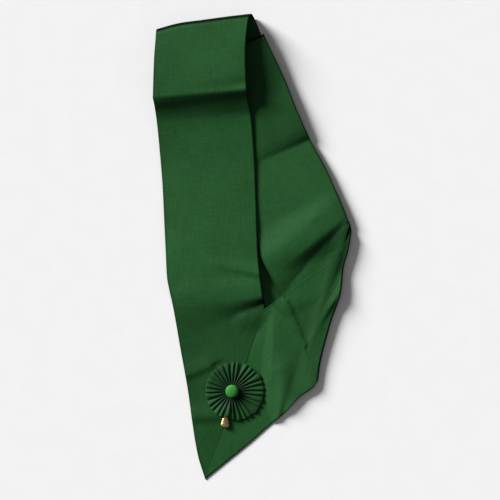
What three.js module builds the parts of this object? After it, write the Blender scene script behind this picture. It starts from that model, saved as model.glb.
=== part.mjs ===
// Ceremonial sash: a loop of wide ribbon, its two ends sewn to each other in a mitre that makes the point.
// It lies folded flat, as it is put down, with a pleated rosette and a small fitting for a jewel on the mitre.
// Millimetres, +Z up. It lies on the plane z = 0, its point towards -Y, the origin under the middle of its box.
// The outer edge of the ribbon is the one that ends in the point, the inner edge ends in the inner corner.

import * as THREE from 'three';

// Ribbon

const WIDTH = 101.6;
const CLOTH = 1.2;
const LYING = CLOTH / 2;
const LAYER = 1.7;
const FACETS_ACROSS = 12;

// The loop is longer than what shows. The rest is folded to and fro under the front strap: an under layer
// runs down from the top fold, turns at the shoulder fold, comes back as the middle layer and turns at the
// inner fold into the back strap. All three leave this corner, each with its own heading from -Y.

const CORNER = { x: -81, y: 192.5 };
const BACK_HEADING = THREE.MathUtils.degToRad(24);
const HIDDEN_HEADING = THREE.MathUtils.degToRad(15.9);
const HIDDEN_LENGTH = 275;
const MIDDLE_HEIGHT = 2.4;

// How the upper layers ride over the ones beneath: heights above the surface, and over what distance
// the stiff ribbon comes down from them.

const RIDE_ON_HIDDEN = MIDDLE_HEIGHT + LAYER;
const SHOULDER_SWELL = 0.5;
const SHOULDER_SPREAD = 18;
const RIDE_ON_BACK = 7;

const HIDDEN_UNDER_FRONT = { side: 44, past: 2, reach: 34 };
const HIDDEN_UNDER_BACK = { side: 26, past: 8, reach: 26 };
const HIDDEN_UNDER_LOWER = { side: 30, past: 4, reach: 36 };
const BACK_UNDER_FRONT = { side: 40, end: 262, reach: 34 };
const BACK_UNDER_LOWER = { height: 3, start: -12, reach: 8 };

// Sections. Each has a straight line from the outer to the inner edge, given by its ends (x, y, z) for the
// middle of the cloth, a rise of the middle of that line over its ends, and whether the ribbon is creased
// there. What would be lower than LYING is pressed flat onto the surface.

const CREASED = true;

function section(name, outer, inner, rise = 0, creased = false) {
  return { name, outer, inner, rise, creased };
}

function heapSection(name, heading, along, height) {
  const outer = placeOnHeap(heading, along, 0);
  const inner = placeOnHeap(heading, along, WIDTH);
  return section(name, [outer.x, outer.y, height], [inner.x, inner.y, height]);
}

const MITRE = section('mitre', [-51.8, -256, -0.6], [13.6, -68, 2.4], -1.4, CREASED);

const FRONT_STRAP = [
  MITRE,
  section('near the point', [-59.9, -229.5, -1], [13.5, -66, 2.8], -1.2),
  section('fan', [-71.9, -152, -1.2], [13.2, -63, 3.6], -0.4),
  section('settled', [-79.5, -110, -1], [12.8, -61, 5.2], 0.2),
  section('drop', [-87.2, -66, 2.2], [11.4, -53.8, 10], 1.2),
  section('swell', [-91.4, -47, 3.4], [9.9, -43, 10.6], 1),
  section('dip', [-93.8, -33.5, 3.8], [8.5, -32, 9.9], 0.5),
  section('heap end', [-95.2, -6, 3.8], [6.2, -6, 9.3], 0.8),
  section('bridge', [-96.8, 27, 3.2], [5, 27, 8], 1),
  section('middle', [-98.7, 67, 3], [3.8, 66.5, 7], 1.2),
  section('upper', [-101.4, 101, 5], [2.2, 101, 7.6], 0.8),
  section('foot', [-104.6, 135, 8.8], [-1.2, 144, 9.2], 0.2),
  section('slope', [-106.4, 149, 13], [-3.8, 157, 13.4]),
  section('lip', [-107.6, 156.4, 17.4], [-5.2, 165.4, 17.6]),
  section('ridge', [-108.9, 162.6, 20.2], [-6.2, 171.6, 22.9], 0, CREASED),
  section('flap', [-107.6, 204, 20], [-7.4, 211, 23.2], -0.4),
];

const UNDER_LAYER = [
  section('under start', [-82, 188, LYING], [11.6, 227, LYING]),
  heapSection('under end', HIDDEN_HEADING, HIDDEN_LENGTH - 12, LYING),
];

const MIDDLE_LAYER = [
  heapSection('middle start', HIDDEN_HEADING, HIDDEN_LENGTH - 25, MIDDLE_HEIGHT + 0.2),
  heapSection('middle flat', HIDDEN_HEADING, 120, MIDDLE_HEIGHT),
  section('middle end', [-74, 170, MIDDLE_HEIGHT], [20.5, 207.5, MIDDLE_HEIGHT]),
];

const BACK_STRAP = [
  section('back top', [-55.5, 140.5, 5.4], [36.8, 181, 8.6], -1),
  section('shelf', [-46.4, 114.9, 5.2], [46.4, 156.2, 9.8], -1.4),
  section('roll over', [-35.9, 91.1, 5.2], [56.6, 132.6, 9], -0.8),
  section('steep', [-31.4, 82.2, 5.2], [60.8, 123.6, 7.4], -0.4),
  section('valley', [-28.6, 76.8, 5], [63.3, 117.9, 4.8], 0, CREASED),
  section('back middle', [-8.4, 40, 5.4], [83.2, 81, 6.2], 0.2),
  section('level', [0.4, 19.5, 5.4], [90.4, 64.6, 6.4], 0.4),
  section('crest', [11.8, -17, 8.2], [97, 50.4, 6.2], 2.8),
  section('brow', [19.6, -32, 7.4], [103, 34.8, 5.7], 2.2),
  section('hollow', [32, -58, 4.4], [105.4, 28.6, 5.1], -1.4),
  section('swing', [39, -76, 2.2], [106.7, 26.2, 4.8], -0.2),
  section('swing low', [52, -105, 0.9], [107.1, 24.8, 4.6], 0.2),
];

const LOWER_STRAP = [
  section('roll foot', [52, -165.6, 3.6], [89.5, -14, 9.6], 0.2),
  section('over tail', [34.5, -184, 1.6], [74, -24.5, 8.8], -0.2),
  section('pinch', [28, -189.4, 2.8], [50, -41, 7.4], -0.4),
  section('strip', [19, -196.7, -0.4], [26, -58.9, 5.4], 1.8),
  section('strip foot', [0, -213.5, -4.2], [17.4, -65.2, 4.2], 0.6),
  MITRE,
];

// Folds. The ribbon rolls round an axis that follows the fold's outline, its radius inside it. The outline
// runs from the outer to the inner end, and side is +1 where the roll bulges to the left of it. Height is that
// of the lower layer at the outer and inner end, bulge is how far the roll stands out for its radius, and slip
// is how each edge slides along as the ribbon turns.

const TOP_FOLD = {
  outline: [[-107, 237.5], [-81, 244.6], [-54, 248.3], [-27.4, 251.9], [-1.2, 254.9]],
  side: 1, radius: [9.4, 10.7], bulge: 0.6, height: [LYING, LYING], downwards: true,
  slip: { outer: [0, 0.055], inner: [0.965, 1.035] }, facets: 6,
};

const SHOULDER_FOLD = {
  outline: heapLine(HIDDEN_HEADING, HIDDEN_LENGTH),
  side: -1, radius: [1.1, 1.1], bulge: 1, height: [LYING, LYING], downwards: false,
  slip: { outer: [0, 0], inner: [1, 1] }, facets: 4,
};

const INNER_FOLD = {
  outline: [[CORNER.x, CORNER.y], [12.6, 233]],
  side: 1, radius: [1.6, 4.9], bulge: 1, height: [MIDDLE_HEIGHT, MIDDLE_HEIGHT], downwards: false,
  slip: { outer: [0, 0], inner: [1, 1] }, facets: 4,
};

const RIGHT_FOLD = {
  outline: [[71.5, -150], [75.6, -122.5], [86.5, -82], [96.4, -53], [100, -23.5], [105.4, -3], [109.2, 21]],
  side: -1, radius: [2.3, 1.8], bulge: 1, height: [LYING, 4.2], downwards: false,
  slip: { outer: [0.092, -0.017], inner: [1.012, 0.917] }, facets: 8,
};

// The stretches of the loop in order, with what each rests on and the longest facet along it.

const LOOP = [
  { sections: FRONT_STRAP, rest: restOfFrontStrap, facet: 14 },
  { fold: TOP_FOLD, rest: null, facet: 11 },
  { sections: UNDER_LAYER, rest: null, facet: 40 },
  { fold: SHOULDER_FOLD, rest: null, facet: 20 },
  { sections: MIDDLE_LAYER, rest: null, facet: 28 },
  { fold: INNER_FOLD, rest: null, facet: 20 },
  { sections: BACK_STRAP, rest: restOfBackStrap, facet: 10 },
  { fold: RIGHT_FOLD, rest: restOfBackStrap, facet: 9 },
  { sections: LOWER_STRAP, rest: restOfLowerStrap, facet: 10 },
];

// Rosette, button and jewel hook

const HUB = { x: -22.4, y: -158.8 };
const RIM = { x: -19.4, y: -159.2 };
const CLEARANCE = 0.3;

const ROSETTE = {
  pleats: 29, facetsPerPleat: 6, rings: 4, cloth: 1,
  innerRadius: 3, outerRadius: 32.2, foot: CLOTH + CLEARANCE,
  liftFrom: 0.2, liftTo: 0.7, rimLift: 0.4, hubPleat: 1.4, rimPleat: 2.2, rimDroop: 0.8,
  notch: { angle: THREE.MathUtils.degToRad(255), spread: THREE.MathUtils.degToRad(13), depth: 3.4 },
  overHook: { angle: THREE.MathUtils.degToRad(249), spread: THREE.MathUtils.degToRad(19), lift: 3 },
};

const BUTTON = {
  sides: 24,
  // radius, height over the ribbon
  profile: [[0, 0.3], [2.1, 0.3], [2.1, 3.5], [6.2, 3.5], [7.2, 4.3], [7, 5.3], [5.8, 6.4], [3.7, 7], [0, 7.3]],
};

const HOOK = {
  x: -29.2, y: -180.5, turn: THREE.MathUtils.degToRad(-4), sides: 12, flatness: 0.42,
  // distance along it, radius
  profile: [
    [0, 0], [0.4, 1.1], [4.6, 1.2], [5.4, 2.4], [7.5, 2.9],
    [11, 3.9], [14.6, 4.6], [16.6, 4.3], [17.8, 3], [18.2, 0],
  ],
};

// Colours and finishes

function finish(name, color, roughness, metalness) {
  return new THREE.MeshStandardMaterial({ name, color, roughness, metalness });
}

const SILK = finish('ribbed silk', 0x1a4a22, 0.62, 0);
const ROSETTE_SILK = finish('pleated silk', 0x173f20, 0.6, 0);
const BUTTON_SILK = finish('button silk', 0x2a7a30, 0.55, 0);
const GILT = finish('gilt', 0xc9a35c, 0.34, 1);

// Small helpers

function smoothStep(value) {
  const t = Math.min(1, Math.max(0, value));
  return t * t * (3 - 2 * t);
}

function over(height, rest, softness = LYING) {
  // the higher of the two, rounded off where they meet
  if (rest - height > softness) return rest;
  const t = Math.max(-1, (rest - height) / softness);
  return height + (softness * (t + 1) ** 2) / 4;
}

function placeOnHeap(heading, along, across) {
  return {
    x: CORNER.x + along * Math.sin(heading) + across * Math.cos(heading),
    y: CORNER.y - along * Math.cos(heading) + across * Math.sin(heading),
  };
}

function heapLine(heading, along) {
  const outer = placeOnHeap(heading, along, 0);
  const inner = placeOnHeap(heading, along, WIDTH);
  return [[outer.x, outer.y], [inner.x, inner.y]];
}

function measureOnHeap(heading, x, y) {
  const dx = x - CORNER.x;
  const dy = y - CORNER.y;
  return {
    along: dx * Math.sin(heading) - dy * Math.cos(heading),
    across: dx * Math.cos(heading) + dy * Math.sin(heading),
  };
}

// What the upper layers rest on, as a height for the middle of the cloth, 0 where nothing is beneath

function hiddenLayers(x, y, { side, past, reach }) {
  const { along, across } = measureOnHeap(HIDDEN_HEADING, x, y);
  const swell = SHOULDER_SWELL * Math.exp(-(((along - HIDDEN_LENGTH) / SHOULDER_SPREAD) ** 2));
  const left = smoothStep((across + side) / side);
  const right = smoothStep((WIDTH + side - across) / side);
  const end = smoothStep((HIDDEN_LENGTH + past + reach - along) / reach);
  return (RIDE_ON_HIDDEN + swell) * left * right * end;
}

function restOfFrontStrap(x, y) {
  const { along, across } = measureOnHeap(BACK_HEADING, x, y);
  const { side, end, reach } = BACK_UNDER_FRONT;
  const onBack = RIDE_ON_BACK * smoothStep((across + side) / side) * smoothStep((end - along) / reach);
  return over(hiddenLayers(x, y, HIDDEN_UNDER_FRONT), onBack, 1);
}

function restOfBackStrap(x, y) {
  return hiddenLayers(x, y, HIDDEN_UNDER_BACK);
}

function restOfLowerStrap(x, y) {
  const { across } = measureOnHeap(BACK_HEADING, x, y);
  const { height, start, reach } = BACK_UNDER_LOWER;
  return hiddenLayers(x, y, HIDDEN_UNDER_LOWER) + height * smoothStep((across - start) / reach);
}

// Sections of the ribbon: each is a row of points from the inner edge to the outer edge

function pointsOfSection({ outer, inner, rise }) {
  const points = [];
  for (let i = 0; i <= FACETS_ACROSS; i += 1) {
    const v = i / FACETS_ACROSS;
    const point = new THREE.Vector3(...inner).lerp(new THREE.Vector3(...outer), v);
    point.z += rise * 4 * v * (1 - v);
    points.push(point);
  }
  return points;
}

const DIRECTION_STEP = 0.004;

function outlinePoint(outline, u) {
  // a curve through the outline's points, which carries on past its ends
  const last = outline.length - 1;
  const span = Math.min(last - 1, Math.max(0, Math.floor(u * last)));
  const t = u * last - span;
  const before = outline[span - 1] ?? outline[0].map((c, k) => 2 * c - outline[1][k]);
  const after = outline[span + 2] ?? outline[last].map((c, k) => 2 * c - outline[last - 1][k]);
  return [0, 1].map((k) => {
    const [a, b, c, d] = [before[k], outline[span][k], outline[span + 1][k], after[k]];
    const bend = (2 * a - 5 * b + 4 * c - d) * t ** 2;
    return 0.5 * (2 * b + (c - a) * t + bend + (3 * b - a - 3 * c + d) * t ** 3);
  });
}

function pointsOfFold(fold, turned, rest) {
  const angle = Math.PI * (fold.downwards ? 0.5 - turned : turned - 0.5);
  const atOuter = THREE.MathUtils.lerp(...fold.slip.outer, turned);
  const atInner = THREE.MathUtils.lerp(...fold.slip.inner, turned);
  const points = [];
  for (let i = 0; i <= FACETS_ACROSS; i += 1) {
    const v = i / FACETS_ACROSS;
    const u = THREE.MathUtils.lerp(atInner, atOuter, v);
    const [x, y] = outlinePoint(fold.outline, u);
    const [x0, y0] = outlinePoint(fold.outline, u - DIRECTION_STEP);
    const [x1, y1] = outlinePoint(fold.outline, u + DIRECTION_STEP);
    const outwards = new THREE.Vector2(y0 - y1, x1 - x0).normalize().multiplyScalar(fold.side);
    const radius = THREE.MathUtils.lerp(fold.radius[1], fold.radius[0], v);
    const inset = fold.bulge * radius * (Math.cos(angle) - 1);
    const height = THREE.MathUtils.lerp(fold.height[1], fold.height[0], v);
    const low = rest ? over(height, rest(x - outwards.x * radius, y - outwards.y * radius)) : height;
    const z = low + radius * (1 + Math.sin(angle));
    points.push(new THREE.Vector3(x + outwards.x * inset, y + outwards.y * inset, z));
  }
  return points;
}

function collectStations() {
  const stations = [];
  for (const { sections, fold, rest, facet } of LOOP) {
    if (sections) {
      for (const each of sections) {
        stations.push({ points: pointsOfSection(each), creased: each.creased, turning: false, rest, facet });
      }
    } else {
      for (let k = 0; k <= fold.facets; k += 1) {
        const points = pointsOfFold(fold, k / fold.facets, rest);
        stations.push({ points, creased: false, turning: true, rest, facet });
      }
    }
  }
  return stations;
}

// A curve along the ribbon that never overshoots a section, so no layer dips into the next

function gentleSlope(before, after, lengthBefore, lengthAfter) {
  if (before * after <= 1e-12) return 0;
  const a = 2 * lengthAfter + lengthBefore;
  const b = lengthAfter + 2 * lengthBefore;
  return (a + b) / (a / before + b / after);
}

function slopesBetween(stations) {
  const spans = [];
  for (let k = 0; k + 1 < stations.length; k += 1) {
    const steps = stations[k].points.map((p, i) => stations[k + 1].points[i].clone().sub(p));
    const lengths = steps.map((step) => step.length());
    const mean = lengths.reduce((sum, length) => sum + length, 0) / lengths.length;
    spans.push({ mean, longest: Math.max(...lengths), slopes: steps.map((step) => step.divideScalar(mean)) });
  }
  return spans;
}

function tangent(stations, spans, k, i, leaving) {
  const after = spans[k];
  const before = spans[k - 1];
  if (!before) return after.slopes[i];
  if (!after) return before.slopes[i];
  if (stations[k].creased) return leaving ? after.slopes[i] : before.slopes[i];
  const slope = (c) => gentleSlope(before.slopes[i][c], after.slopes[i][c], before.mean, after.mean);
  return new THREE.Vector3(slope('x'), slope('y'), slope('z'));
}

function sweepRibbon() {
  const stations = collectStations();
  const spans = slopesBetween(stations);
  const rows = [];
  for (let k = 0; k < spans.length; k += 1) {
    const here = stations[k];
    const next = stations[k + 1];
    const { rest, facet } = here.turning ? next : here;
    const { mean, longest } = spans[k];
    const pieces = Math.ceil(longest / facet);
    for (let j = 0; j < pieces; j += 1) {
      const t = j / pieces;
      rows.push(here.points.map((p, i) => {
        const point = p.clone().multiplyScalar(2 * t ** 3 - 3 * t ** 2 + 1)
          .addScaledVector(tangent(stations, spans, k, i, true), (t ** 3 - 2 * t ** 2 + t) * mean)
          .addScaledVector(next.points[i], 3 * t ** 2 - 2 * t ** 3)
          .addScaledVector(tangent(stations, spans, k + 1, i, false), (t ** 3 - t ** 2) * mean);
        if (rest) point.z = Math.max(LYING, over(point.z, rest(point.x, point.y)));
        return point;
      }));
    }
  }
  return rows;
}

// Solids

function closedMesh(vertices, triangles) {
  const geometry = new THREE.BufferGeometry();
  geometry.setAttribute('position', new THREE.Float32BufferAttribute(vertices.flatMap((p) => [p.x, p.y, p.z]), 3));
  geometry.setIndex(triangles);
  geometry.computeVertexNormals();
  return geometry;
}

function quad(triangles, a, b, c, d) {
  triangles.push(a, b, c, a, c, d);
}

function thickenLoop(rows, normals, thickness) {
  // a closed loop of rows becomes a solid strip: one face on each side of the rows, joined along both edges
  const across = rows[0].length;
  const moved = (row, k, offset) => row.map((p, i) => p.clone().addScaledVector(normals[k][i], offset));
  const face = (offset) => rows.flatMap((row, k) => moved(row, k, offset));
  const vertices = [...face(thickness / 2), ...face(-thickness / 2)];
  const back = rows.length * across;
  const triangles = [];
  for (let k = 0; k < rows.length; k += 1) {
    const here = k * across;
    const next = ((k + 1) % rows.length) * across;
    for (let i = 0; i + 1 < across; i += 1) {
      quad(triangles, here + i, here + i + 1, next + i + 1, next + i);
      quad(triangles, back + here + i, back + next + i, back + next + i + 1, back + here + i + 1);
    }
    quad(triangles, here, next, back + next, back + here);
    const last = across - 1;
    quad(triangles, here + last, back + here + last, back + next + last, next + last);
  }
  return closedMesh(vertices, triangles);
}

function surfaceNormals(rows) {
  const count = rows.length;
  return rows.map((row, k) => row.map((p, i) => {
    const along = rows[(k + 1) % count][i].clone().sub(rows[(k + count - 1) % count][i]);
    const across = row[Math.min(i + 1, row.length - 1)].clone().sub(row[Math.max(i - 1, 0)]);
    return across.cross(along).normalize();
  }));
}

function evenOut(normals) {
  // each takes a half from its two neighbours along the loop
  const count = normals.length;
  return normals.map((row, k) => row.map((normal, i) => normal.clone().multiplyScalar(2)
    .add(normals[(k + 1) % count][i])
    .add(normals[(k + count - 1) % count][i])
    .normalize()));
}

function sashBand() {
  const rows = sweepRibbon();
  return thickenLoop(rows, evenOut(surfaceNormals(rows)), CLOTH);
}

// The rosette is a pleated disc: a wave that runs round it and grows from the gathered hub to the rim, with
// its hub a little to the left of the middle of the rim. Over the jewel hook the rim is notched and lifted.

function nearAngle(angle, place) {
  return Math.exp(-(((angle - place.angle) / place.spread) ** 2));
}

function rosetteHeight(out, angle) {
  const { pleats, foot, cloth, liftFrom, liftTo, rimLift, hubPleat, rimPleat, rimDroop, overHook } = ROSETTE;
  const fullLift = rimLift + overHook.lift * nearAngle(angle, overHook);
  const lift = fullLift * smoothStep((out - liftFrom) / (liftTo - liftFrom));
  const pleat = THREE.MathUtils.lerp(hubPleat, rimPleat, Math.sqrt(out)) - rimDroop * smoothStep(6 * out - 5);
  const wave = 0.5 - 0.5 * Math.cos(pleats * angle);
  return foot + cloth / 2 + lift + pleat * wave;
}

function rosette() {
  const { pleats, facetsPerPleat, rings, innerRadius, outerRadius, notch, cloth } = ROSETTE;
  const count = pleats * facetsPerPleat;
  const rows = [];
  for (let k = 0; k < count; k += 1) {
    const angle = (2 * Math.PI * k) / count;
    const rimRadius = outerRadius - notch.depth * nearAngle(angle, notch);
    const row = [];
    for (let i = 0; i <= rings; i += 1) {
      const out = i / rings;
      const radius = THREE.MathUtils.lerp(innerRadius, rimRadius, out);
      const x = THREE.MathUtils.lerp(HUB.x, RIM.x, out) + radius * Math.cos(angle);
      const y = THREE.MathUtils.lerp(HUB.y, RIM.y, out) + radius * Math.sin(angle);
      row.push(new THREE.Vector3(x, y, rosetteHeight(out, angle)));
    }
    rows.push(row);
  }
  const upright = rows.map((row) => row.map(() => new THREE.Vector3(0, 0, 1)));
  return thickenLoop(rows, upright, cloth);
}

function rosetteButton() {
  const profile = BUTTON.profile.map(([radius, height]) => new THREE.Vector2(radius, height));
  return new THREE.LatheGeometry(profile, BUTTON.sides).rotateX(Math.PI / 2);
}

function jewelHook() {
  // a turned body that lies on its side, flattened
  const profile = HOOK.profile.map(([along, radius]) => new THREE.Vector2(radius, -along)).reverse();
  return new THREE.LatheGeometry(profile, HOOK.sides).scale(1, 1, HOOK.flatness);
}

// The assembly

function piece(name, geometry, material, x = 0, y = 0, z = 0) {
  const mesh = new THREE.Mesh(geometry, material);
  mesh.name = name;
  mesh.position.set(x, y, z);
  return mesh;
}

const sash = new THREE.Group();
sash.add(piece('sash_band', sashBand(), SILK));
sash.add(piece('rosette', rosette(), ROSETTE_SILK));
sash.add(piece('rosette_button', rosetteButton(), BUTTON_SILK, HUB.x, HUB.y, CLOTH));

const hookHeight = CLOTH + CLEARANCE + HOOK.flatness * Math.max(...HOOK.profile.map(([, radius]) => radius));
const hook = piece('jewel_hook', jewelHook(), GILT, HOOK.x, HOOK.y, hookHeight);
hook.rotation.z = HOOK.turn;
sash.add(hook);

export default sash;
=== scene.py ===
import math

import bmesh
import bpy
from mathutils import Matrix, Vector, noise


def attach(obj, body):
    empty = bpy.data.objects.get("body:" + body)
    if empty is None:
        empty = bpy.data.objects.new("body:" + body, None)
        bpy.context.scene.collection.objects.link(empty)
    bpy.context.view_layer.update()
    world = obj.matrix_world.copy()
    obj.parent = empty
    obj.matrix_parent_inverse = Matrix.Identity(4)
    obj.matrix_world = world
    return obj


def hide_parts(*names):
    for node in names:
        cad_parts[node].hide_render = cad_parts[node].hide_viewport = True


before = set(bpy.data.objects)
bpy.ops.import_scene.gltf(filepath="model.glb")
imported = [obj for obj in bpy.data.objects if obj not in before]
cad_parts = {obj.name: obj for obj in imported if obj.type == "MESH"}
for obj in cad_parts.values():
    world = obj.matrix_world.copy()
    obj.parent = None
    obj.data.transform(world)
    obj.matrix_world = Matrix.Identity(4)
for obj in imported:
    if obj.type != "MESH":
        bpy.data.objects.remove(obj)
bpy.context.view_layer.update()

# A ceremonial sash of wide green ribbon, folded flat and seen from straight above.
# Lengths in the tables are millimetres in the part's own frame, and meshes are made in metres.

MM = 0.001


# Small helpers

def lerp(a, b, t):
    return a + (b - a) * t


def smooth_step(value):
    t = min(1.0, max(0.0, value))
    return t * t * (3 - 2 * t)


def bell(distance, width):
    return math.exp(-((distance / width) ** 2))


def over(height, rest, softness):
    """The higher of the two heights, rounded off where they meet."""
    if rest - height > softness:
        return rest
    t = max(-1.0, (rest - height) / softness)
    return height + softness * (t + 1) ** 2 / 4


def distance_to_line(x, y, start, end):
    """Distance from a line, above 0 on its left, below 0 on its right, and how far along it, 0 to 1."""
    dx, dy = end[0] - start[0], end[1] - start[1]
    t = ((x - start[0]) * dx + (y - start[1]) * dy) / (dx * dx + dy * dy)
    t = min(1.0, max(0.0, t))
    distance = math.hypot(x - start[0] - t * dx, y - start[1] - t * dy)
    return math.copysign(distance, dx * (y - start[1]) - dy * (x - start[0])), t


# Ribbon: sizes

WIDTH = 101.6
WALL = 0.8

# Height of the middle of the cloth where it lies on the surface, and from one layer to the next, as in the
# solids, whose cloth is thicker

LYING = 0.6
LAYER = 1.7

# Strips across the ribbon, rows for each facet that the solids have along it, and how much of a row may be
# left over

COLUMNS = 72
ROWS_PER_FACET = 4.6
LEFT_OVER = 0.2

# The hidden layers and the back strap leave one corner, each with its own heading from -Y

CORNER = (-81.0, 192.5)
BACK_HEADING = math.radians(24)
HIDDEN_HEADING = math.radians(15.9)
HIDDEN_LENGTH = 275.0
MIDDLE_HEIGHT = 2.4
RIDE_ON_HIDDEN = MIDDLE_HEIGHT + LAYER
SHOULDER_SWELL = 0.5
SHOULDER_SPREAD = 18.0
RIDE_ON_BACK = 7.0

# How the front, back and lower straps come down beside the hidden layers: over what distance at the sides,
# how far past their end they stay up, and over what distance they come down there

HIDDEN_UNDER_FRONT = {"side": 44, "past": 2, "reach": 34}
HIDDEN_UNDER_BACK = {"side": 26, "past": 8, "reach": 26}
HIDDEN_UNDER_LOWER = {"side": 30, "past": 4, "reach": 36}

# The same for the front strap over the back strap, where end is how far along it stays up. Then how high
# the lower strap lies on the back strap, where across that it starts to rise, and over what distance.

BACK_UNDER_FRONT = {"side": 40, "end": 262, "reach": 34}
BACK_UNDER_LOWER = {"height": 3, "start": -12, "reach": 8}


def place_on_heap(heading, along, across):
    """The point so far along a layer that leaves the corner, and so far across it."""
    x = CORNER[0] + along * math.sin(heading) + across * math.cos(heading)
    y = CORNER[1] - along * math.cos(heading) + across * math.sin(heading)
    return x, y


def measure_on_heap(heading, x, y):
    """How far along and across such a layer a point is."""
    dx, dy = x - CORNER[0], y - CORNER[1]
    along = dx * math.sin(heading) - dy * math.cos(heading)
    across = dx * math.cos(heading) + dy * math.sin(heading)
    return along, across


# Ribbon: sections, from the outer edge (x, y, z) to the inner edge (x, y, z), the rise of the middle over
# the ends, and whether there is a crease

def on_heap(heading, along, height):
    """A level section straight across a layer that leaves the corner."""
    return (
        (*place_on_heap(heading, along, 0), height),
        (*place_on_heap(heading, along, WIDTH), height),
        0.0,
        False,
    )


MITRE = ((-51.8, -256, -0.6), (13.6, -68, 2.4), -1.4, True)

FRONT_STRAP = [
    MITRE,
    ((-59.9, -229.5, -1), (13.5, -66, 2.8), -1.2, False),
    ((-71.9, -152, -1.2), (13.2, -63, 3.6), -0.4, False),
    ((-79.5, -110, -1), (12.8, -61, 5.2), 0.2, False),
    ((-87.2, -66, 2.2), (11.4, -53.8, 10), 1.2, False),
    ((-91.4, -47, 3.4), (9.9, -43, 10.6), 1, False),
    ((-93.8, -33.5, 3.8), (8.5, -32, 9.9), 0.5, False),
    ((-95.2, -6, 3.8), (6.2, -6, 9.3), 0.8, False),
    ((-96.8, 27, 3.2), (5, 27, 8), 1, False),
    ((-98.7, 67, 3), (3.8, 66.5, 7), 1.2, False),
    ((-101.4, 101, 5), (2.2, 101, 7.6), 0.8, False),
    ((-104.6, 135, 8.8), (-1.2, 144, 9.2), 0.2, False),
    ((-106.4, 149, 13), (-3.8, 157, 13.4), 0.0, False),
    ((-107.6, 156.4, 17.4), (-5.2, 165.4, 17.6), 0.0, False),
    ((-108.9, 162.6, 20.2), (-6.2, 171.6, 22.9), 0.0, True),
    ((-107.6, 204, 20), (-7.4, 211, 23.2), -0.4, False),
]

UNDER_LAYER = [
    ((-82, 188, LYING), (11.6, 227, LYING), 0.0, False),
    on_heap(HIDDEN_HEADING, HIDDEN_LENGTH - 12, LYING),
]

MIDDLE_LAYER = [
    on_heap(HIDDEN_HEADING, HIDDEN_LENGTH - 25, MIDDLE_HEIGHT + 0.2),
    on_heap(HIDDEN_HEADING, 120, MIDDLE_HEIGHT),
    ((-74, 170, MIDDLE_HEIGHT), (20.5, 207.5, MIDDLE_HEIGHT), 0.0, False),
]

BACK_STRAP = [
    ((-55.5, 140.5, 5.4), (36.8, 181, 8.6), -1, False),
    ((-46.4, 114.9, 5.2), (46.4, 156.2, 9.8), -1.4, False),
    ((-35.9, 91.1, 5.2), (56.6, 132.6, 9), -0.8, False),
    ((-31.4, 82.2, 5.2), (60.8, 123.6, 7.4), -0.4, False),
    ((-28.6, 76.8, 5), (63.3, 117.9, 4.8), 0.0, True),
    ((-8.4, 40, 5.4), (83.2, 81, 6.2), 0.2, False),
    ((0.4, 19.5, 5.4), (90.4, 64.6, 6.4), 0.4, False),
    ((11.8, -17, 8.2), (97, 50.4, 6.2), 2.8, False),
    ((19.6, -32, 7.4), (103, 34.8, 5.7), 2.2, False),
    ((32, -58, 4.4), (105.4, 28.6, 5.1), -1.4, False),
    ((39, -76, 2.2), (106.7, 26.2, 4.8), -0.2, False),
    ((52, -105, 0.9), (107.1, 24.8, 4.6), 0.2, False),
]

LOWER_STRAP = [
    ((52, -165.6, 3.6), (89.5, -14, 9.6), 0.2, False),
    ((34.5, -184, 1.6), (74, -24.5, 8.8), -0.2, False),
    ((28, -189.4, 2.8), (50, -41, 7.4), -0.4, False),
    ((19, -196.7, -0.4), (26, -58.9, 5.4), 1.8, False),
    ((0, -213.5, -4.2), (17.4, -65.2, 4.2), 0.6, False),
    MITRE,
]

# Ribbon: folds. The outline runs from the outer to the inner end, and side is 1 where the roll bulges to
# the left of it. Radius, and height of the lower layer, are those at the outer and inner end. Bulge is how
# far the roll stands out for its radius, and slip is how each edge slides along it as the ribbon turns.

TOP_FOLD = {
    "outline": [(-107, 237.5), (-81, 244.6), (-54, 248.3), (-27.4, 251.9), (-1.2, 254.9)],
    "side": 1, "radius": (9.4, 10.7), "bulge": 0.6, "height": (LYING, LYING), "downwards": True,
    "outer_slip": (0, 0.055), "inner_slip": (0.965, 1.035), "steps": 14,
}

SHOULDER_FOLD = {
    "outline": [
        place_on_heap(HIDDEN_HEADING, HIDDEN_LENGTH, 0),
        place_on_heap(HIDDEN_HEADING, HIDDEN_LENGTH, WIDTH),
    ],
    "side": -1, "radius": (1.1, 1.1), "bulge": 1, "height": (LYING, LYING), "downwards": False,
    "outer_slip": (0, 0), "inner_slip": (1, 1), "steps": 8,
}

INNER_FOLD = {
    "outline": [CORNER, (12.6, 233)],
    "side": 1, "radius": (1.6, 4.9), "bulge": 1, "height": (MIDDLE_HEIGHT, MIDDLE_HEIGHT),
    "downwards": False, "outer_slip": (0, 0), "inner_slip": (1, 1), "steps": 8,
}

RIGHT_FOLD = {
    "outline": [
        (71.5, -150), (75.6, -122.5), (86.5, -82), (96.4, -53), (100, -23.5), (105.4, -3), (109.2, 21),
    ],
    "side": -1, "radius": (2.3, 1.8), "bulge": 1, "height": (LYING, 4.2), "downwards": False,
    "outer_slip": (0.092, -0.017), "inner_slip": (1.012, 0.917), "steps": 16,
}

# Ribbon: what the upper layers rest on, as a height for the middle of the cloth

EDGE_ROUNDING = 1.0


def hidden_layers(x, y, beside):
    side, past, reach = (beside[key] for key in ("side", "past", "reach"))
    along, across = measure_on_heap(HIDDEN_HEADING, x, y)
    swell = SHOULDER_SWELL * bell(along - HIDDEN_LENGTH, SHOULDER_SPREAD)
    left = smooth_step((across + side) / side)
    right = smooth_step((WIDTH + side - across) / side)
    end = smooth_step((HIDDEN_LENGTH + past + reach - along) / reach)
    return (RIDE_ON_HIDDEN + swell) * left * right * end


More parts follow.
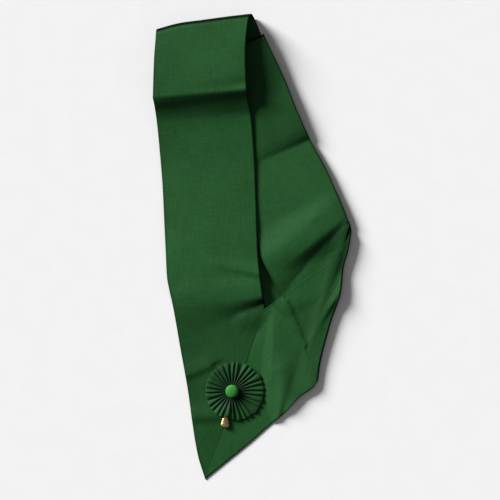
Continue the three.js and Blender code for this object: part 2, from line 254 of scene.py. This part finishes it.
def rest_of_front(x, y):
    along, across = measure_on_heap(BACK_HEADING, x, y)
    side, end, reach = (BACK_UNDER_FRONT[key] for key in ("side", "end", "reach"))
    on_back = RIDE_ON_BACK * smooth_step((across + side) / side) * smooth_step((end - along) / reach)
    return over(hidden_layers(x, y, HIDDEN_UNDER_FRONT), on_back, EDGE_ROUNDING)


def rest_of_back(x, y):
    return hidden_layers(x, y, HIDDEN_UNDER_BACK)


def rest_of_lower(x, y):
    across = measure_on_heap(BACK_HEADING, x, y)[1]
    height, start, reach = (BACK_UNDER_LOWER[key] for key in ("height", "start", "reach"))
    return hidden_layers(x, y, HIDDEN_UNDER_LOWER) + height * smooth_step((across - start) / reach)


# Ribbon: sweep along the loop

SMALL_STEP = 0.004
LEVEL = 1e-12
NORMAL_ROUNDS = 3


def points_of_section(outer, inner, rise):
    """Points from the inner to the outer edge."""
    points = []
    for i in range(COLUMNS + 1):
        v = i / COLUMNS
        point = Vector(inner).lerp(Vector(outer), v)
        point.z += rise * 4 * v * (1 - v)
        points.append(point)
    return points


def outline_point(outline, u):
    """The point at a share u of a smooth curve through the outline's points, or past its ends."""
    last = len(outline) - 1
    span = min(last - 1, max(0, math.floor(u * last)))
    t = u * last - span
    b, c = Vector(outline[span]), Vector(outline[span + 1])
    a = Vector(outline[span - 1]) if span > 0 else 2 * b - c
    d = Vector(outline[span + 2]) if span + 2 <= last else 2 * c - b
    return 0.5 * (2 * b + (c - a) * t + (2 * a - 5 * b + 4 * c - d) * t**2 + (3 * b - a - 3 * c + d) * t**3)


def points_of_fold(fold, turned, rest):
    """Points from the inner to the outer edge where the ribbon has turned by that share of the fold."""
    angle = math.pi * (0.5 - turned if fold["downwards"] else turned - 0.5)
    at_outer = lerp(*fold["outer_slip"], turned)
    at_inner = lerp(*fold["inner_slip"], turned)
    points = []
    for i in range(COLUMNS + 1):
        v = i / COLUMNS
        u = lerp(at_inner, at_outer, v)
        x, y = outline_point(fold["outline"], u)
        before, after = (outline_point(fold["outline"], u + step) for step in (-SMALL_STEP, SMALL_STEP))
        ahead = after - before
        outwards = Vector((-ahead.y, ahead.x)).normalized() * fold["side"]
        radius = lerp(fold["radius"][1], fold["radius"][0], v)
        inset = fold["bulge"] * radius * (math.cos(angle) - 1)
        low = lerp(fold["height"][1], fold["height"][0], v)
        if rest:
            low = over(low, rest(x - outwards.x * radius, y - outwards.y * radius), LYING)
        z = low + radius * (1 + math.sin(angle))
        points.append(Vector((x + outwards.x * inset, y + outwards.y * inset, z)))
    return points


# name of the stretch, its sections or fold, what it rests on, and the longest facet along it in the solids
LOOP = [
    ("front", FRONT_STRAP, rest_of_front, 12),
    ("top fold", TOP_FOLD, None, 11),
    ("under", UNDER_LAYER, None, 40),
    ("shoulder fold", SHOULDER_FOLD, None, 20),
    ("middle", MIDDLE_LAYER, None, 28),
    ("inner fold", INNER_FOLD, None, 20),
    ("back", BACK_STRAP, rest_of_back, 9),
    ("right fold", RIGHT_FOLD, rest_of_back, 9),
    ("lower", LOWER_STRAP, rest_of_lower, 9),
]


def collect_stations():
    """The sections and the steps of the folds, in order round the loop."""
    stations = []
    for name, shape, rest, facet in LOOP:
        turning = isinstance(shape, dict)
        if turning:
            steps = shape["steps"]
            lines = [(points_of_fold(shape, k / steps, rest), False) for k in range(steps + 1)]
        else:
            lines = [(points_of_section(*section[:3]), section[3]) for section in shape]
        for points, creased in lines:
            stations.append({
                "points": points, "creased": creased, "turning": turning,
                "name": name, "rest": rest, "facet": facet,
            })
    return stations


def gentle_slope(before, after, length_before, length_after):
    """A slope between those of two spans that makes no bump of its own."""
    if before * after <= LEVEL:
        return 0.0
    a = 2 * length_after + length_before
    b = length_after + 2 * length_before
    return (a + b) / (a / before + b / after)


def tangent(stations, spans, k, i, leaving):
    """The direction of the ribbon in column i at station k, on leaving it or on arriving at it."""
    before = spans[k - 1] if k > 0 else None
    after = spans[k] if k < len(spans) else None
    if before is None:
        return after["slopes"][i]
    if after is None:
        return before["slopes"][i]
    if stations[k]["creased"]:
        return after["slopes"][i] if leaving else before["slopes"][i]
    p, q = before["slopes"][i], after["slopes"][i]
    return Vector([gentle_slope(p[c], q[c], before["mean"], after["mean"]) for c in range(3)])


def sweep_ribbon():
    """Rows of points round the loop, from the inner to the outer edge, with the name of their stretch."""
    stations = collect_stations()
    spans = []
    for here, there in zip(stations, stations[1:]):
        steps = [q - p for p, q in zip(here["points"], there["points"])]
        lengths = [step.length for step in steps]
        mean = sum(lengths) / len(lengths)
        spans.append({"mean": mean, "longest": max(lengths), "slopes": [step / mean for step in steps]})
    rows = []
    for k, span in enumerate(spans):
        here, there = stations[k], stations[k + 1]
        owner = there if here["turning"] else here
        pieces = max(1, math.ceil(span["longest"] * ROWS_PER_FACET / owner["facet"] - LEFT_OVER))
        leaving = [tangent(stations, spans, k, i, True) for i in range(COLUMNS + 1)]
        arriving = [tangent(stations, spans, k + 1, i, False) for i in range(COLUMNS + 1)]
        for j in range(pieces):
            t = j / pieces
            row = []
            for i in range(COLUMNS + 1):
                point = here["points"][i] * (2 * t**3 - 3 * t**2 + 1)
                point = point + leaving[i] * ((t**3 - 2 * t**2 + t) * span["mean"])
                point = point + there["points"][i] * (3 * t**2 - 2 * t**3)
                point = point + arriving[i] * ((t**3 - t**2) * span["mean"])
                if owner["rest"]:
                    point.z = max(LYING, over(point.z, owner["rest"](point.x, point.y), LYING))
                row.append(point)
            rows.append((owner["name"], row))
    return rows


# Ribbon: low relief that the solid leaves out

SHOWING = ("front", "lower", "back")

# height, length of its waves in x and in y, and which slice of the noise it takes
UNEVENNESS = [
    (0.35, 70, 70, 3.1),
    (0.16, 26, 40, 8.7),
]

# stretch, start x, y, end x, y, width of the left and of the right flank, height at the start and the end:
# a ridge, or a furrow where the height is below 0
STROKES = [
    ("front", (-66, 170), (-8, 178.5), 6.5, 6.5, 0.0, -1.5),
    ("front", (-42, -19), (10, -30), 9.0, 4.0, 0.5, 2.3),
    ("front", (-72, -142), (-47, -131), 12.0, 4.0, 1.6, 1.3),
    ("front", (-63, -188), (-34, -187), 12.0, 4.0, 1.9, 1.9),
    ("back", (34, -6), (70, 6), 16.0, 14.0, 0.6, 1.0),
    ("back", (30, -27), (78, -11), 12.0, 7.0, -0.6, -1.0),
    ("back", (62, -16), (99, 22), 18.0, 10.0, 1.0, 2.0),
    ("lower", (37, -60), (57, -107), 3.0, 10.0, 1.3, 1.3),
    ("lower", (31, -138), (41, -178), 14.0, 11.0, 1.6, 2.5),
]

# stretch, start x, y, end x, y, reach, strength at the inner and at the outer edge of the ribbon: painted
# shade, which makes the silk darker to the left of that line
PAINTED_SHADE_AREAS = [
    ("front", (100, -48), (-100, -48), 22.0, 0.1, 0.22),
    ("back", (-28.6, 76.8), (63.3, 117.9), 5.0, 0.24, 0.24),
]

# share of the width, from the inner edge, at which the painted shade has its outer strength
OUTER_STRENGTH_FROM = 0.8

# rows over which the relief fades out towards a fold
FADING_ROWS = 16


def relief(name, x, y):
    """Ridges, furrows and a slow unevenness, in millimetres, for the layers that show."""
    if name not in SHOWING:
        return 0.0
    height = 0.0
    for most, x_wave, y_wave, part in UNEVENNESS:
        height += most * (0.5 + 0.5 * noise.noise(Vector((x / x_wave, y / y_wave, part))))
    for stretch, start, end, left, right, first, last in STROKES:
        if stretch == name:
            distance, t = distance_to_line(x, y, start, end)
            height += lerp(first, last, t) * bell(distance, left if distance > 0 else right)
    return height


def painted_shade(name, x, y, share):
    """How much painted shade the silk has, share being 0 at the inner edge and 1 at the outer one."""
    painted_darkening = 0.0
    for stretch, start, end, reach, inner, outer in PAINTED_SHADE_AREAS:
        if stretch == name:
            distance = distance_to_line(x, y, start, end)[0]
            strength = lerp(inner, outer, smooth_step(share / OUTER_STRENGTH_FROM))
            painted_darkening += smooth_step(distance / reach) * strength
    return painted_darkening


def fold_fade(k, names):
    """0 at the ends of a stretch, so that the relief fades out towards the folds."""
    count = len(names)
    steps = 0
    while steps < FADING_ROWS and names[(k - steps) % count] == names[(k + steps) % count] == names[k]:
        steps += 1
    return smooth_step(steps / FADING_ROWS)


def sash_rows():
    """The rows with their relief, and how much painted shade the silk has at each of their points."""
    swept = sweep_ribbon()
    # the relief goes on over the mitre, where the lower strap is sewn to the front strap
    names = ["front" if name == "lower" else name for name, _ in swept]
    rows = []
    painted_darkening = []
    for k, (name, row) in enumerate(swept):
        fade = fold_fade(k, names)
        painted_darkening.append([painted_shade(name, p.x, p.y, i / COLUMNS) for i, p in enumerate(row)])
        rows.append([
            Vector((p.x, p.y, max(LYING, p.z + fade * relief(name, p.x, p.y))))
            for p in row
        ])
    return rows, painted_darkening


def surface_normals(rows):
    """Which way the cloth faces at each point, evened out along the ribbon."""
    count = len(rows)
    normals = []
    for k, row in enumerate(rows):
        line = []
        for i in range(len(row)):
            along = rows[(k + 1) % count][i] - rows[k - 1][i]
            across = row[min(i + 1, len(row) - 1)] - row[max(i - 1, 0)]
            line.append(across.cross(along).normalized())
        normals.append(line)
    for _ in range(NORMAL_ROUNDS):
        normals = [
            [(normals[k][i] * 2 + normals[(k + 1) % count][i] + normals[k - 1][i]).normalized()
             for i in range(len(normals[k]))]
            for k in range(count)
        ]
    return normals


def new_object(name, bm, material):
    """A smooth shaded object of that mesh."""
    mesh = bpy.data.meshes.new(name)
    bm.to_mesh(mesh)
    bm.free()
    mesh.materials.append(material)
    obj = bpy.data.objects.new(name, mesh)
    bpy.context.scene.collection.objects.link(obj)
    for polygon in mesh.polygons:
        polygon.use_smooth = True
    return obj


def thicken_loop(name, rows, normals, painted_darkening, wall, material, lengths):
    """A closed strip of cloth from a closed loop of rows. Its UV map is in metres along and across it, and
    its steepness runs from 0 where it lies flat to 1 where it stands upright."""
    bm = bmesh.new()
    steepness = bm.verts.layers.float.new("steepness")
    # painted shade: how much darker the silk is painted at each point
    painted_shade_layer = bm.verts.layers.float.new("painted_shade")
    sides = []
    for half in (0.5, -0.5):
        side = [
            [bm.verts.new((p + n * (half * wall)) * MM) for p, n in zip(row, line)]
            for row, line in zip(rows, normals)
        ]
        for verts, line, painted_darkening_row in zip(side, normals, painted_darkening):
            for vert, normal, amount in zip(verts, line, painted_darkening_row):
                vert[steepness] = 1 - abs(normal.z)
                vert[painted_shade_layer] = amount
        sides.append(side)
    uv = bm.loops.layers.uv.new("cloth")
    count = len(rows)
    for k in range(count):
        n = (k + 1) % count
        start, end = lengths[k], lengths[k + 1]
        for grid, turned_over in zip(sides, (False, True)):
            for i in range(COLUMNS):
                near, far = i / COLUMNS * WIDTH * MM, (i + 1) / COLUMNS * WIDTH * MM
                corners = [
                    (grid[k][i], (start, near)), (grid[k][i + 1], (start, far)),
                    (grid[n][i + 1], (end, far)), (grid[n][i], (end, near)),
                ]
                if turned_over:
                    corners.reverse()
                face = bm.faces.new([vert for vert, place in corners])
                for loop, (vert, place) in zip(face.loops, corners):
                    loop[uv].uv = place
        top, back = sides
        bm.faces.new([top[k][0], top[n][0], back[n][0], back[k][0]])
        bm.faces.new([top[k][-1], back[k][-1], back[n][-1], top[n][-1]])
    return new_object(name, bm, material)


# Materials: helpers


def new_material(name):
    """A new material with its node tree and its shader."""
    made = bpy.data.materials.new(name)
    made.use_nodes = True
    tree = made.node_tree
    tree.nodes.clear()
    output = tree.nodes.new("ShaderNodeOutputMaterial")
    shader = tree.nodes.new("ShaderNodeBsdfPrincipled")
    tree.links.new(shader.outputs["BSDF"], output.inputs["Surface"])
    return made, tree, shader


def node(tree, kind, **settings):
    """A new node, each setting going to its input or its property of that name."""
    made = tree.nodes.new(kind)
    for key, value in settings.items():
        if key in made.inputs:
            made.inputs[key].default_value = value
        else:
            setattr(made, key, value)
    return made


def maths(tree, operation, a, b=0.0):
    """The result of an operation on two sockets or numbers."""
    made = tree.nodes.new("ShaderNodeMath")
    made.operation = operation
    for socket, value in zip(made.inputs, (a, b)):
        if isinstance(value, (int, float)):
            socket.default_value = value
        else:
            tree.links.new(value, socket)
    return made.outputs[0]


def blended(tree, factor, a, b):
    """The colour that lies between two colours or sockets."""
    mix = tree.nodes.new("ShaderNodeMix")
    mix.data_type = "RGBA"
    if isinstance(factor, float):
        mix.inputs[0].default_value = factor
    else:
        tree.links.new(factor, mix.inputs[0])
    for socket, value in ((mix.inputs[6], a), (mix.inputs[7], b)):
        if isinstance(value, tuple):
            socket.default_value = (*value, 1)
        else:
            tree.links.new(value, socket)
    return mix.outputs[2]


def scaled(tree, vector, scale):
    mapping = tree.nodes.new("ShaderNodeMapping")
    mapping.inputs["Scale"].default_value = scale
    tree.links.new(vector, mapping.inputs["Vector"])
    return mapping.outputs["Vector"]


def ramp(tree, factor, low, high, at_low=0.0, at_high=1.0):
    """A value that goes evenly from at_low to at_high while the factor goes from low to high."""
    made = tree.nodes.new("ShaderNodeMapRange")
    made.inputs["From Min"].default_value = low
    made.inputs["From Max"].default_value = high
    made.inputs["To Min"].default_value = at_low
    made.inputs["To Max"].default_value = at_high
    tree.links.new(factor, made.inputs["Value"])
    return made.outputs["Result"]


def bumped(tree, shader, height, strength, distance):
    """A relief in the shader's normals."""
    bump = node(tree, "ShaderNodeBump", Strength=strength, Distance=distance)
    tree.links.new(height, bump.inputs["Height"])
    tree.links.new(bump.outputs["Normal"], shader.inputs["Normal"])


# Materials: colours, as linear red, green and blue

RIBBON_THREADS = ((0.005, 0.044, 0.008), (0.013, 0.1, 0.02))
RIBBON_PATCHES = ((0.006, 0.056, 0.009), (0.014, 0.092, 0.021))
# the darkest silk, for the edges and the mitre's seam, and for the painted shade in the folds and the
# painted shade areas
RIBBON_SEAMS_AND_PAINTED_SHADE = (0.001, 0.005, 0.0015)
ROSETTE_SILK = ((0.006, 0.036, 0.009), (0.012, 0.062, 0.017))
# painted shade in the gathers of the rosette
ROSETTE_PAINTED_SHADE = (0.003, 0.013, 0.005)
BUTTON_SILK = ((0.026, 0.17, 0.026), (0.04, 0.24, 0.04))
GILT = ((0.5, 0.32, 0.12), (0.78, 0.56, 0.27))
FLOOR = ((0.86, 0.86, 0.86), (0.88, 0.88, 0.88))
SHEEN_TINT = (0.35, 0.75, 0.4, 1)

# Materials: the ribbon's lines and ribs, in metres. Each pair is where a line or fade starts and where it is
# full: from the edge, from the mitre's seam, from the inner edge along that seam, and from its inner corner.

SELVEDGE = (0.0024, 0.0004)
SEAM_LINE = (0.0026, 0.0002)
SEAM_SHOWS = (0.085, 0.05)
WEAVE_SHOWS = (0.02, 0.09)
RIB_PITCH = 0.0009

# How steep the cloth is where the painted shade in a fold starts, and where it is darkest

FOLD_STEEPNESS = (0.02, 0.26)

# Materials: cloth and metal


def worn_silk(tree, uv):
    """Slubs and wear that run along both ways of the weave: the colour, and the threads as a height."""
    along = node(tree, "ShaderNodeTexNoise", Scale=1.0, Detail=4.0, Roughness=0.6)
    tree.links.new(scaled(tree, uv, (60, 700, 1)), along.inputs["Vector"])
    across = node(tree, "ShaderNodeTexNoise", Scale=1.0, Detail=3.0, Roughness=0.6)
    tree.links.new(scaled(tree, uv, (900, 70, 1)), across.inputs["Vector"])
    patches = node(tree, "ShaderNodeTexNoise", Scale=14.0, Detail=3.0, Roughness=0.55)
    tree.links.new(uv, patches.inputs["Vector"])
    along_half = maths(tree, "MULTIPLY", along.outputs["Fac"], 0.5)
    across_half = maths(tree, "MULTIPLY", across.outputs["Fac"], 0.5)
    threads = maths(tree, "ADD", along_half, across_half)
    weave = blended(tree, ramp(tree, threads, 0.38, 0.62), *RIBBON_THREADS)
    wear = blended(tree, ramp(tree, patches.outputs["Fac"], 0.35, 0.7), *RIBBON_PATCHES)
    return blended(tree, 0.5, weave, wear), threads


def ribbed_silk(seam):
    """Silk with fine ribs across the ribbon, darker at its edges and at the mitre's seam, with painted shade
    in its folds and in the painted shade areas. Seam is how far along the ribbon that seam comes round
    again."""
    made, tree, shader = new_material("ribbed_silk")
    uv = node(tree, "ShaderNodeUVMap", uv_map="cloth").outputs["UV"]
    colour, threads = worn_silk(tree, uv)

    split = node(tree, "ShaderNodeSeparateXYZ")
    tree.links.new(uv, split.inputs[0])
    along, across = split.outputs["X"], split.outputs["Y"]
    from_edge = maths(tree, "MINIMUM", across, maths(tree, "SUBTRACT", WIDTH * MM, across))
    selvedge = ramp(tree, from_edge, *SELVEDGE)
    from_seam = maths(tree, "MINIMUM", along, maths(tree, "SUBTRACT", seam, along))
    stitched = ramp(tree, from_seam, *SEAM_LINE)
    stitched = maths(tree, "MULTIPLY", stitched, ramp(tree, across, *SEAM_SHOWS))
    steep = node(tree, "ShaderNodeAttribute", attribute_name="steepness").outputs["Fac"]
    folded = ramp(tree, steep, *FOLD_STEEPNESS)
    painted_darkening = node(tree, "ShaderNodeAttribute", attribute_name="painted_shade").outputs["Fac"]
    # painted shade: the silk goes towards its darkest colour, with less specular and sheen, where it is
    # steep in the folds and in the painted shade areas; the edges and the seam are darkened the same way
    light = 1.0
    for place, share in ((selvedge, 0.6), (stitched, 0.8), (folded, 0.96), (painted_darkening, 1.0)):
        kept = maths(tree, "SUBTRACT", 1.0, maths(tree, "MULTIPLY", place, share))
        light = maths(tree, "MULTIPLY", light, kept)
    tree.links.new(blended(tree, light, RIBBON_SEAMS_AND_PAINTED_SHADE, colour), shader.inputs["Base Color"])
    tree.links.new(maths(tree, "MULTIPLY", light, 0.2), shader.inputs["Specular IOR Level"])
    tree.links.new(maths(tree, "MULTIPLY", light, 0.1), shader.inputs["Sheen Weight"])

    # the rows crowd together at the inner corner of the mitre, so the weave fades out there
    ribs = maths(tree, "SINE", maths(tree, "MULTIPLY", along, 2 * math.pi / RIB_PITCH))
    weave = maths(tree, "ADD", maths(tree, "MULTIPLY", ribs, 0.35), threads)
    from_corner = maths(tree, "ADD", from_seam, maths(tree, "MULTIPLY", across, 0.5))
    weave = maths(tree, "MULTIPLY", weave, ramp(tree, from_corner, *WEAVE_SHOWS))
    bumped(tree, shader, weave, 0.35, 0.0003)
    tree.links.new(ramp(tree, threads, 0.2, 0.8, 0.5, 0.72), shader.inputs["Roughness"])
    shader.inputs["Sheen Roughness"].default_value = 0.4
    shader.inputs["Sheen Tint"].default_value = SHEEN_TINT
    return made


def small_silk(name, dark, light, sheen, brightness=None):
    """Silk of the rosette and the button, with a fine weave in the part's own frame. Brightness names the
    layer of the mesh that says how much light the silk gets, which is less in the gathers."""
    made, tree, shader = new_material(name)
    place = node(tree, "ShaderNodeTexCoord").outputs["Object"]
    weave = node(tree, "ShaderNodeTexNoise", Scale=900.0, Detail=3.0, Roughness=0.6)
    tree.links.new(place, weave.inputs["Vector"])
    patches = node(tree, "ShaderNodeTexNoise", Scale=110.0, Detail=2.0, Roughness=0.5)
    tree.links.new(place, patches.inputs["Vector"])
    weave_share = maths(tree, "MULTIPLY", weave.outputs["Fac"], 0.6)
    patch_share = maths(tree, "MULTIPLY", patches.outputs["Fac"], 0.4)
    mixed = maths(tree, "ADD", weave_share, patch_share)
    colour = blended(tree, ramp(tree, mixed, 0.35, 0.65), dark, light)
    if brightness:
        bright = node(tree, "ShaderNodeAttribute", attribute_name=brightness).outputs["Fac"]
        # painted shade: the colour goes towards the rosette's painted shade colour where the layer says the
        # silk gets less light
        colour = blended(tree, bright, ROSETTE_PAINTED_SHADE, colour)
    tree.links.new(colour, shader.inputs["Base Color"])
    bumped(tree, shader, weave.outputs["Fac"], 0.3, 0.0002)
    shader.inputs["Roughness"].default_value = 0.65
    shader.inputs["Specular IOR Level"].default_value = 0.12
    shader.inputs["Sheen Weight"].default_value = sheen
    shader.inputs["Sheen Roughness"].default_value = 0.35
    shader.inputs["Sheen Tint"].default_value = SHEEN_TINT
    return made


def gilt():
    """Gilt metal that is worn in small patches."""
    made, tree, shader = new_material("gilt")
    place = node(tree, "ShaderNodeTexCoord").outputs["Object"]
    wear = node(tree, "ShaderNodeTexNoise", Scale=500.0, Detail=4.0, Roughness=0.6)
    tree.links.new(place, wear.inputs["Vector"])
    worn = wear.outputs["Fac"]
    tree.links.new(blended(tree, ramp(tree, worn, 0.35, 0.7), *GILT), shader.inputs["Base Color"])
    tree.links.new(ramp(tree, worn, 0.2, 0.8, 0.26, 0.46), shader.inputs["Roughness"])
    bumped(tree, shader, worn, 0.15, 0.0001)
    shader.inputs["Metallic"].default_value = 1.0
    return made


# Camera, floor and light

# width of the view in metres, and its middle on the surface
FIELD = 0.55
VIEW_CENTRE = (-0.0026, -0.0037)
LENS = 200.0
SENSOR = 36.0

# a low sun from the upper left, as in the photo, with how wide it is in degrees
KEY_PLACE = (-0.75, 0.56, 0.35)
KEY_WIDTH = 22
KEY_STRENGTH = 7.6
WORLD_STRENGTH = 0.17


def camera():
    """Straight down from far above."""
    made = bpy.data.objects.new("camera", bpy.data.cameras.new("camera"))
    made.data.lens = LENS
    made.data.sensor_width = SENSOR
    made.data.sensor_fit = "HORIZONTAL"
    made.data.clip_start = 0.05
    made.location = (*VIEW_CENTRE, FIELD * LENS / SENSOR)
    bpy.context.scene.collection.objects.link(made)
    bpy.context.scene.camera = made


def floor():
    """A pale, even surface."""
    made, tree, shader = new_material("floor")
    grain = node(tree, "ShaderNodeTexNoise", Scale=40.0, Detail=3.0)
    place = node(tree, "ShaderNodeTexCoord").outputs["Object"]
    tree.links.new(place, grain.inputs["Vector"])
    colour = blended(tree, ramp(tree, grain.outputs["Fac"], 0.3, 0.7), *FLOOR)
    tree.links.new(colour, shader.inputs["Base Color"])
    shader.inputs["Roughness"].default_value = 0.9
    bm = bmesh.new()
    bmesh.ops.create_grid(bm, x_segments=1, y_segments=1, size=4)
    new_object("floor", bm, made)


def sun(name, place, width, strength):
    """A sun that shines from that place to the origin."""
    light = bpy.data.lights.new(name, "SUN")
    light.angle = math.radians(width)
    light.energy = strength
    obj = bpy.data.objects.new(name, light)
    obj.location = place
    obj.rotation_euler = (-Vector(place)).to_track_quat("-Z", "Y").to_euler()
    bpy.context.scene.collection.objects.link(obj)


def world_light(strength):
    """White light from all sides."""
    world = bpy.data.worlds.new("studio")
    world.use_nodes = True
    background = world.node_tree.nodes["Background"]
    background.inputs["Color"].default_value = (1, 1, 1, 1)
    background.inputs["Strength"].default_value = strength
    bpy.context.scene.world = world


camera()
floor()
sun("key", KEY_PLACE, KEY_WIDTH, KEY_STRENGTH)
world_light(WORLD_STRENGTH)
bpy.context.scene.view_settings.view_transform = "Standard"


# The sash band


def sash_band():
    """The whole ribbon, lowered so that its thinner cloth lies on the surface."""
    rows, painted_darkening = sash_rows()
    normals = surface_normals(rows)
    lowered = [[Vector((p.x, p.y, p.z - LYING + WALL / 2)) for p in row] for row in rows]
    middle = [row[COLUMNS // 2] for row in rows]
    lengths = [0.0]
    for k, p in enumerate(middle):
        lengths.append(lengths[-1] + (middle[(k + 1) % len(middle)] - p).length * MM)
    band = thicken_loop("sash_band_cloth", lowered, normals, painted_darkening, WALL, ribbed_silk(lengths[-1]), lengths)
    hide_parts("sash_band")
    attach(band, "root")


sash_band()


# The rosette

HUB = (-22.4, -158.8)
RIM = (-19.4, -159.2)
HUB_RADIUS = 2.6
RIM_RADIUS = 32.2
PLEATS = 29
POINTS_A_PLEAT = 18
RINGS = 26
ROSETTE_FOOT = 1.6
ROSETTE_WALL = 0.5

# The rim is drawn in at a notch, and lifted over the hook: the angle, how far to both sides, and how much

NOTCH = (math.radians(255), math.radians(13), 3.4)
OVER_HOOK = (math.radians(249), math.radians(19), 3.0)

# How far the pleats wander, in whole pleats, how far they lean, how full their backs are, where less is
# fuller, how uneven the rim is, and how far it is drawn in between them

WANDER = 0.45
LEAN = 0.1
FULLNESS = 0.8
RIM_UNEVEN = 0.9
RIM_BETWEEN = 0.5

# Height of the pleats at the hub and near the rim, how much lower they are at the very rim, and how far the
# rim stands off the ribbon besides

PLEAT_AT_HUB = 1.2
PLEAT_AT_RIM = 1.8
RIM_DROOP = 0.6
RIM_LIFT = 0.4

# Painted shade: how bright the silk is in the gathers at the hub, against 1 on the open pleats

HUB_BRIGHTNESS = 0.35


def pleat_wave(turn, out):
    """0 in the bottom of a pleat to 1 on its back, leaning to one side, from the angle in whole pleats."""
    index = math.floor(turn)
    phase = turn - index
    lean = 0.5 + LEAN * noise.noise(Vector((index * 3.7, 1.3, out * 1.5)))
    phase = phase / (2 * lean) if phase < lean else 0.5 + (phase - lean) / (2 * (1 - lean))
    return (0.5 - 0.5 * math.cos(2 * math.pi * phase)) ** FULLNESS


def around_rosette(angle, place):
    """How much of a notch or lift there is at that angle."""
    middle, spread, most = place
    return most * bell(angle - middle, spread)


def rosette_point(angle, out):
    """A point of the pleated cloth, out being 0 at the hub and 1 at the rim."""
    way = Vector((math.cos(angle) * 4, math.sin(angle) * 4, out))
    turn = (angle * PLEATS / (2 * math.pi) + WANDER * out * noise.noise(way)) % PLEATS
    wave = pleat_wave(turn, out)
    jag = RIM_UNEVEN * noise.noise(Vector((math.floor(turn) * 2.3, 7.7, 0))) - RIM_BETWEEN * (1 - wave)
    radius = lerp(HUB_RADIUS, RIM_RADIUS - around_rosette(angle, NOTCH) + jag, out)
    lift = (RIM_LIFT + around_rosette(angle, OVER_HOOK)) * smooth_step((out - 0.2) / 0.5)
    pleat = lerp(PLEAT_AT_HUB, PLEAT_AT_RIM, math.sqrt(out)) - RIM_DROOP * smooth_step(6 * out - 5)
    x = lerp(HUB[0], RIM[0], out) + radius * math.cos(angle)
    y = lerp(HUB[1], RIM[1], out) + radius * math.sin(angle)
    return Vector((x, y, ROSETTE_FOOT + lift + pleat * wave))


def rosette():
    """The pleated disc, with painted shade in the gathers at its hub."""
    around = PLEATS * POINTS_A_PLEAT
    bm = bmesh.new()
    bright = bm.verts.layers.float.new("bright")
    grid = []
    for k in range(around):
        angle = 2 * math.pi * k / around
        grid.append([bm.verts.new(rosette_point(angle, i / RINGS) * MM) for i in range(RINGS + 1)])
        for i, vert in enumerate(grid[-1]):
            # painted shade, darkest in the gathers at the hub
            vert[bright] = lerp(HUB_BRIGHTNESS, 1.0, smooth_step((i / RINGS - 0.25) / 0.5))
    for k in range(around):
        n = (k + 1) % around
        for i in range(RINGS):
            bm.faces.new([grid[k][i], grid[k][i + 1], grid[n][i + 1], grid[n][i]])
    silk = small_silk("pleated_silk", *ROSETTE_SILK, sheen=0.06, brightness="bright")
    cloth = new_object("rosette_cloth", bm, silk)
    wall = cloth.modifiers.new("wall", "SOLIDIFY")
    wall.thickness = ROSETTE_WALL * MM
    wall.offset = 0
    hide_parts("rosette")
    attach(cloth, "root")


rosette()


# The button

BUTTON_FOOT = 1.2
BUTTON_SIDES = 72
GATHERS = 26
GATHER_HEIGHT = 0.06

BUTTON_PROFILE = [
    # radius, height over the ribbon
    (0.0, 0.35), (2.0, 0.35), (2.0, 3.5), (5.2, 3.5), (6.4, 3.7), (7.0, 4.1), (7.15, 4.7),
    (6.9, 5.4), (6.2, 6.1), (5.1, 6.6), (3.6, 7.0), (1.9, 7.2), (0.0, 7.25),
]


def lathe(profile, around):
    """A closed solid of revolution, from pairs of a radius and a height in millimetres."""
    bm = bmesh.new()
    rings = []
    for radius, height in profile:
        if radius == 0:
            rings.append([bm.verts.new((0, 0, height * MM))])
        else:
            rings.append([
                bm.verts.new((
                    radius * MM * math.cos(2 * math.pi * k / around),
                    radius * MM * math.sin(2 * math.pi * k / around),
                    height * MM,
                ))
                for k in range(around)
            ])
    for low, high in zip(rings, rings[1:]):
        for k in range(around):
            n = (k + 1) % around
            corners = [low[k % len(low)], low[n % len(low)], high[n % len(high)], high[k % len(high)]]
            bm.faces.new(list(dict.fromkeys(corners)))
    return bm


def rosette_button():
    """A domed button, its silk slightly gathered towards the edge."""
    bm = lathe(BUTTON_PROFILE, BUTTON_SIDES)
    for vert in bm.verts:
        angle = math.atan2(vert.co.y, vert.co.x)
        radius = math.hypot(vert.co.x, vert.co.y)
        gathers = GATHER_HEIGHT * MM * math.sin(GATHERS * angle) * smooth_step((radius / MM - 5) / 2)
        vert.co.z += gathers
        vert.co += Vector((*HUB, BUTTON_FOOT)) * MM
    button = new_object("button_cover", bm, small_silk("button_silk", *BUTTON_SILK, sheen=0.05))
    button.modifiers.new("rounding", "SUBSURF").render_levels = 1
    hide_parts("rosette_button")
    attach(button, "root")


rosette_button()


# The jewel hook

# It starts under the rosette and runs down, flattened, its underside just over the ribbon

HOOK_START = (-29.2, -180.5)
HOOK_TURN = math.radians(-4)
HOOK_FLATNESS = 0.42
HOOK_FOOT = 1.5
HOOK_WIDEST = 4.6
HOOK_SIDES = 48

HOOK_PROFILE = [
    # radius, distance along it
    (0.0, 0.0), (0.9, 0.1), (1.1, 0.5), (1.15, 4.4), (1.6, 4.7), (2.3, 5.0), (2.5, 5.5), (2.3, 6.0),
    (2.1, 6.3), (2.5, 7.0), (3.0, 8.4), (3.5, 10.2), (4.0, 12.2), (4.45, 14.2), (HOOK_WIDEST, 15.2),
    (4.45, 16.2), (4.0, 17.0), (3.0, 17.7), (1.6, 18.1), (0.0, 18.2),
]


def jewel_hook():
    """A solid of revolution, flattened and laid down on its side."""
    bm = lathe(HOOK_PROFILE, HOOK_SIDES)
    cosine, sine = math.cos(HOOK_TURN), math.sin(HOOK_TURN)
    for vert in bm.verts:
        x, up, along = vert.co.x, vert.co.y * HOOK_FLATNESS, vert.co.z
        vert.co.x = HOOK_START[0] * MM + x * cosine + along * sine
        vert.co.y = HOOK_START[1] * MM + x * sine - along * cosine
        vert.co.z = (HOOK_FOOT + HOOK_FLATNESS * HOOK_WIDEST) * MM + up
    bmesh.ops.recalc_face_normals(bm, faces=bm.faces)
    hook = new_object("jewel_hook_gilt", bm, gilt())
    hook.modifiers.new("rounding", "SUBSURF").render_levels = 1
    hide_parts("jewel_hook")
    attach(hook, "root")


jewel_hook()
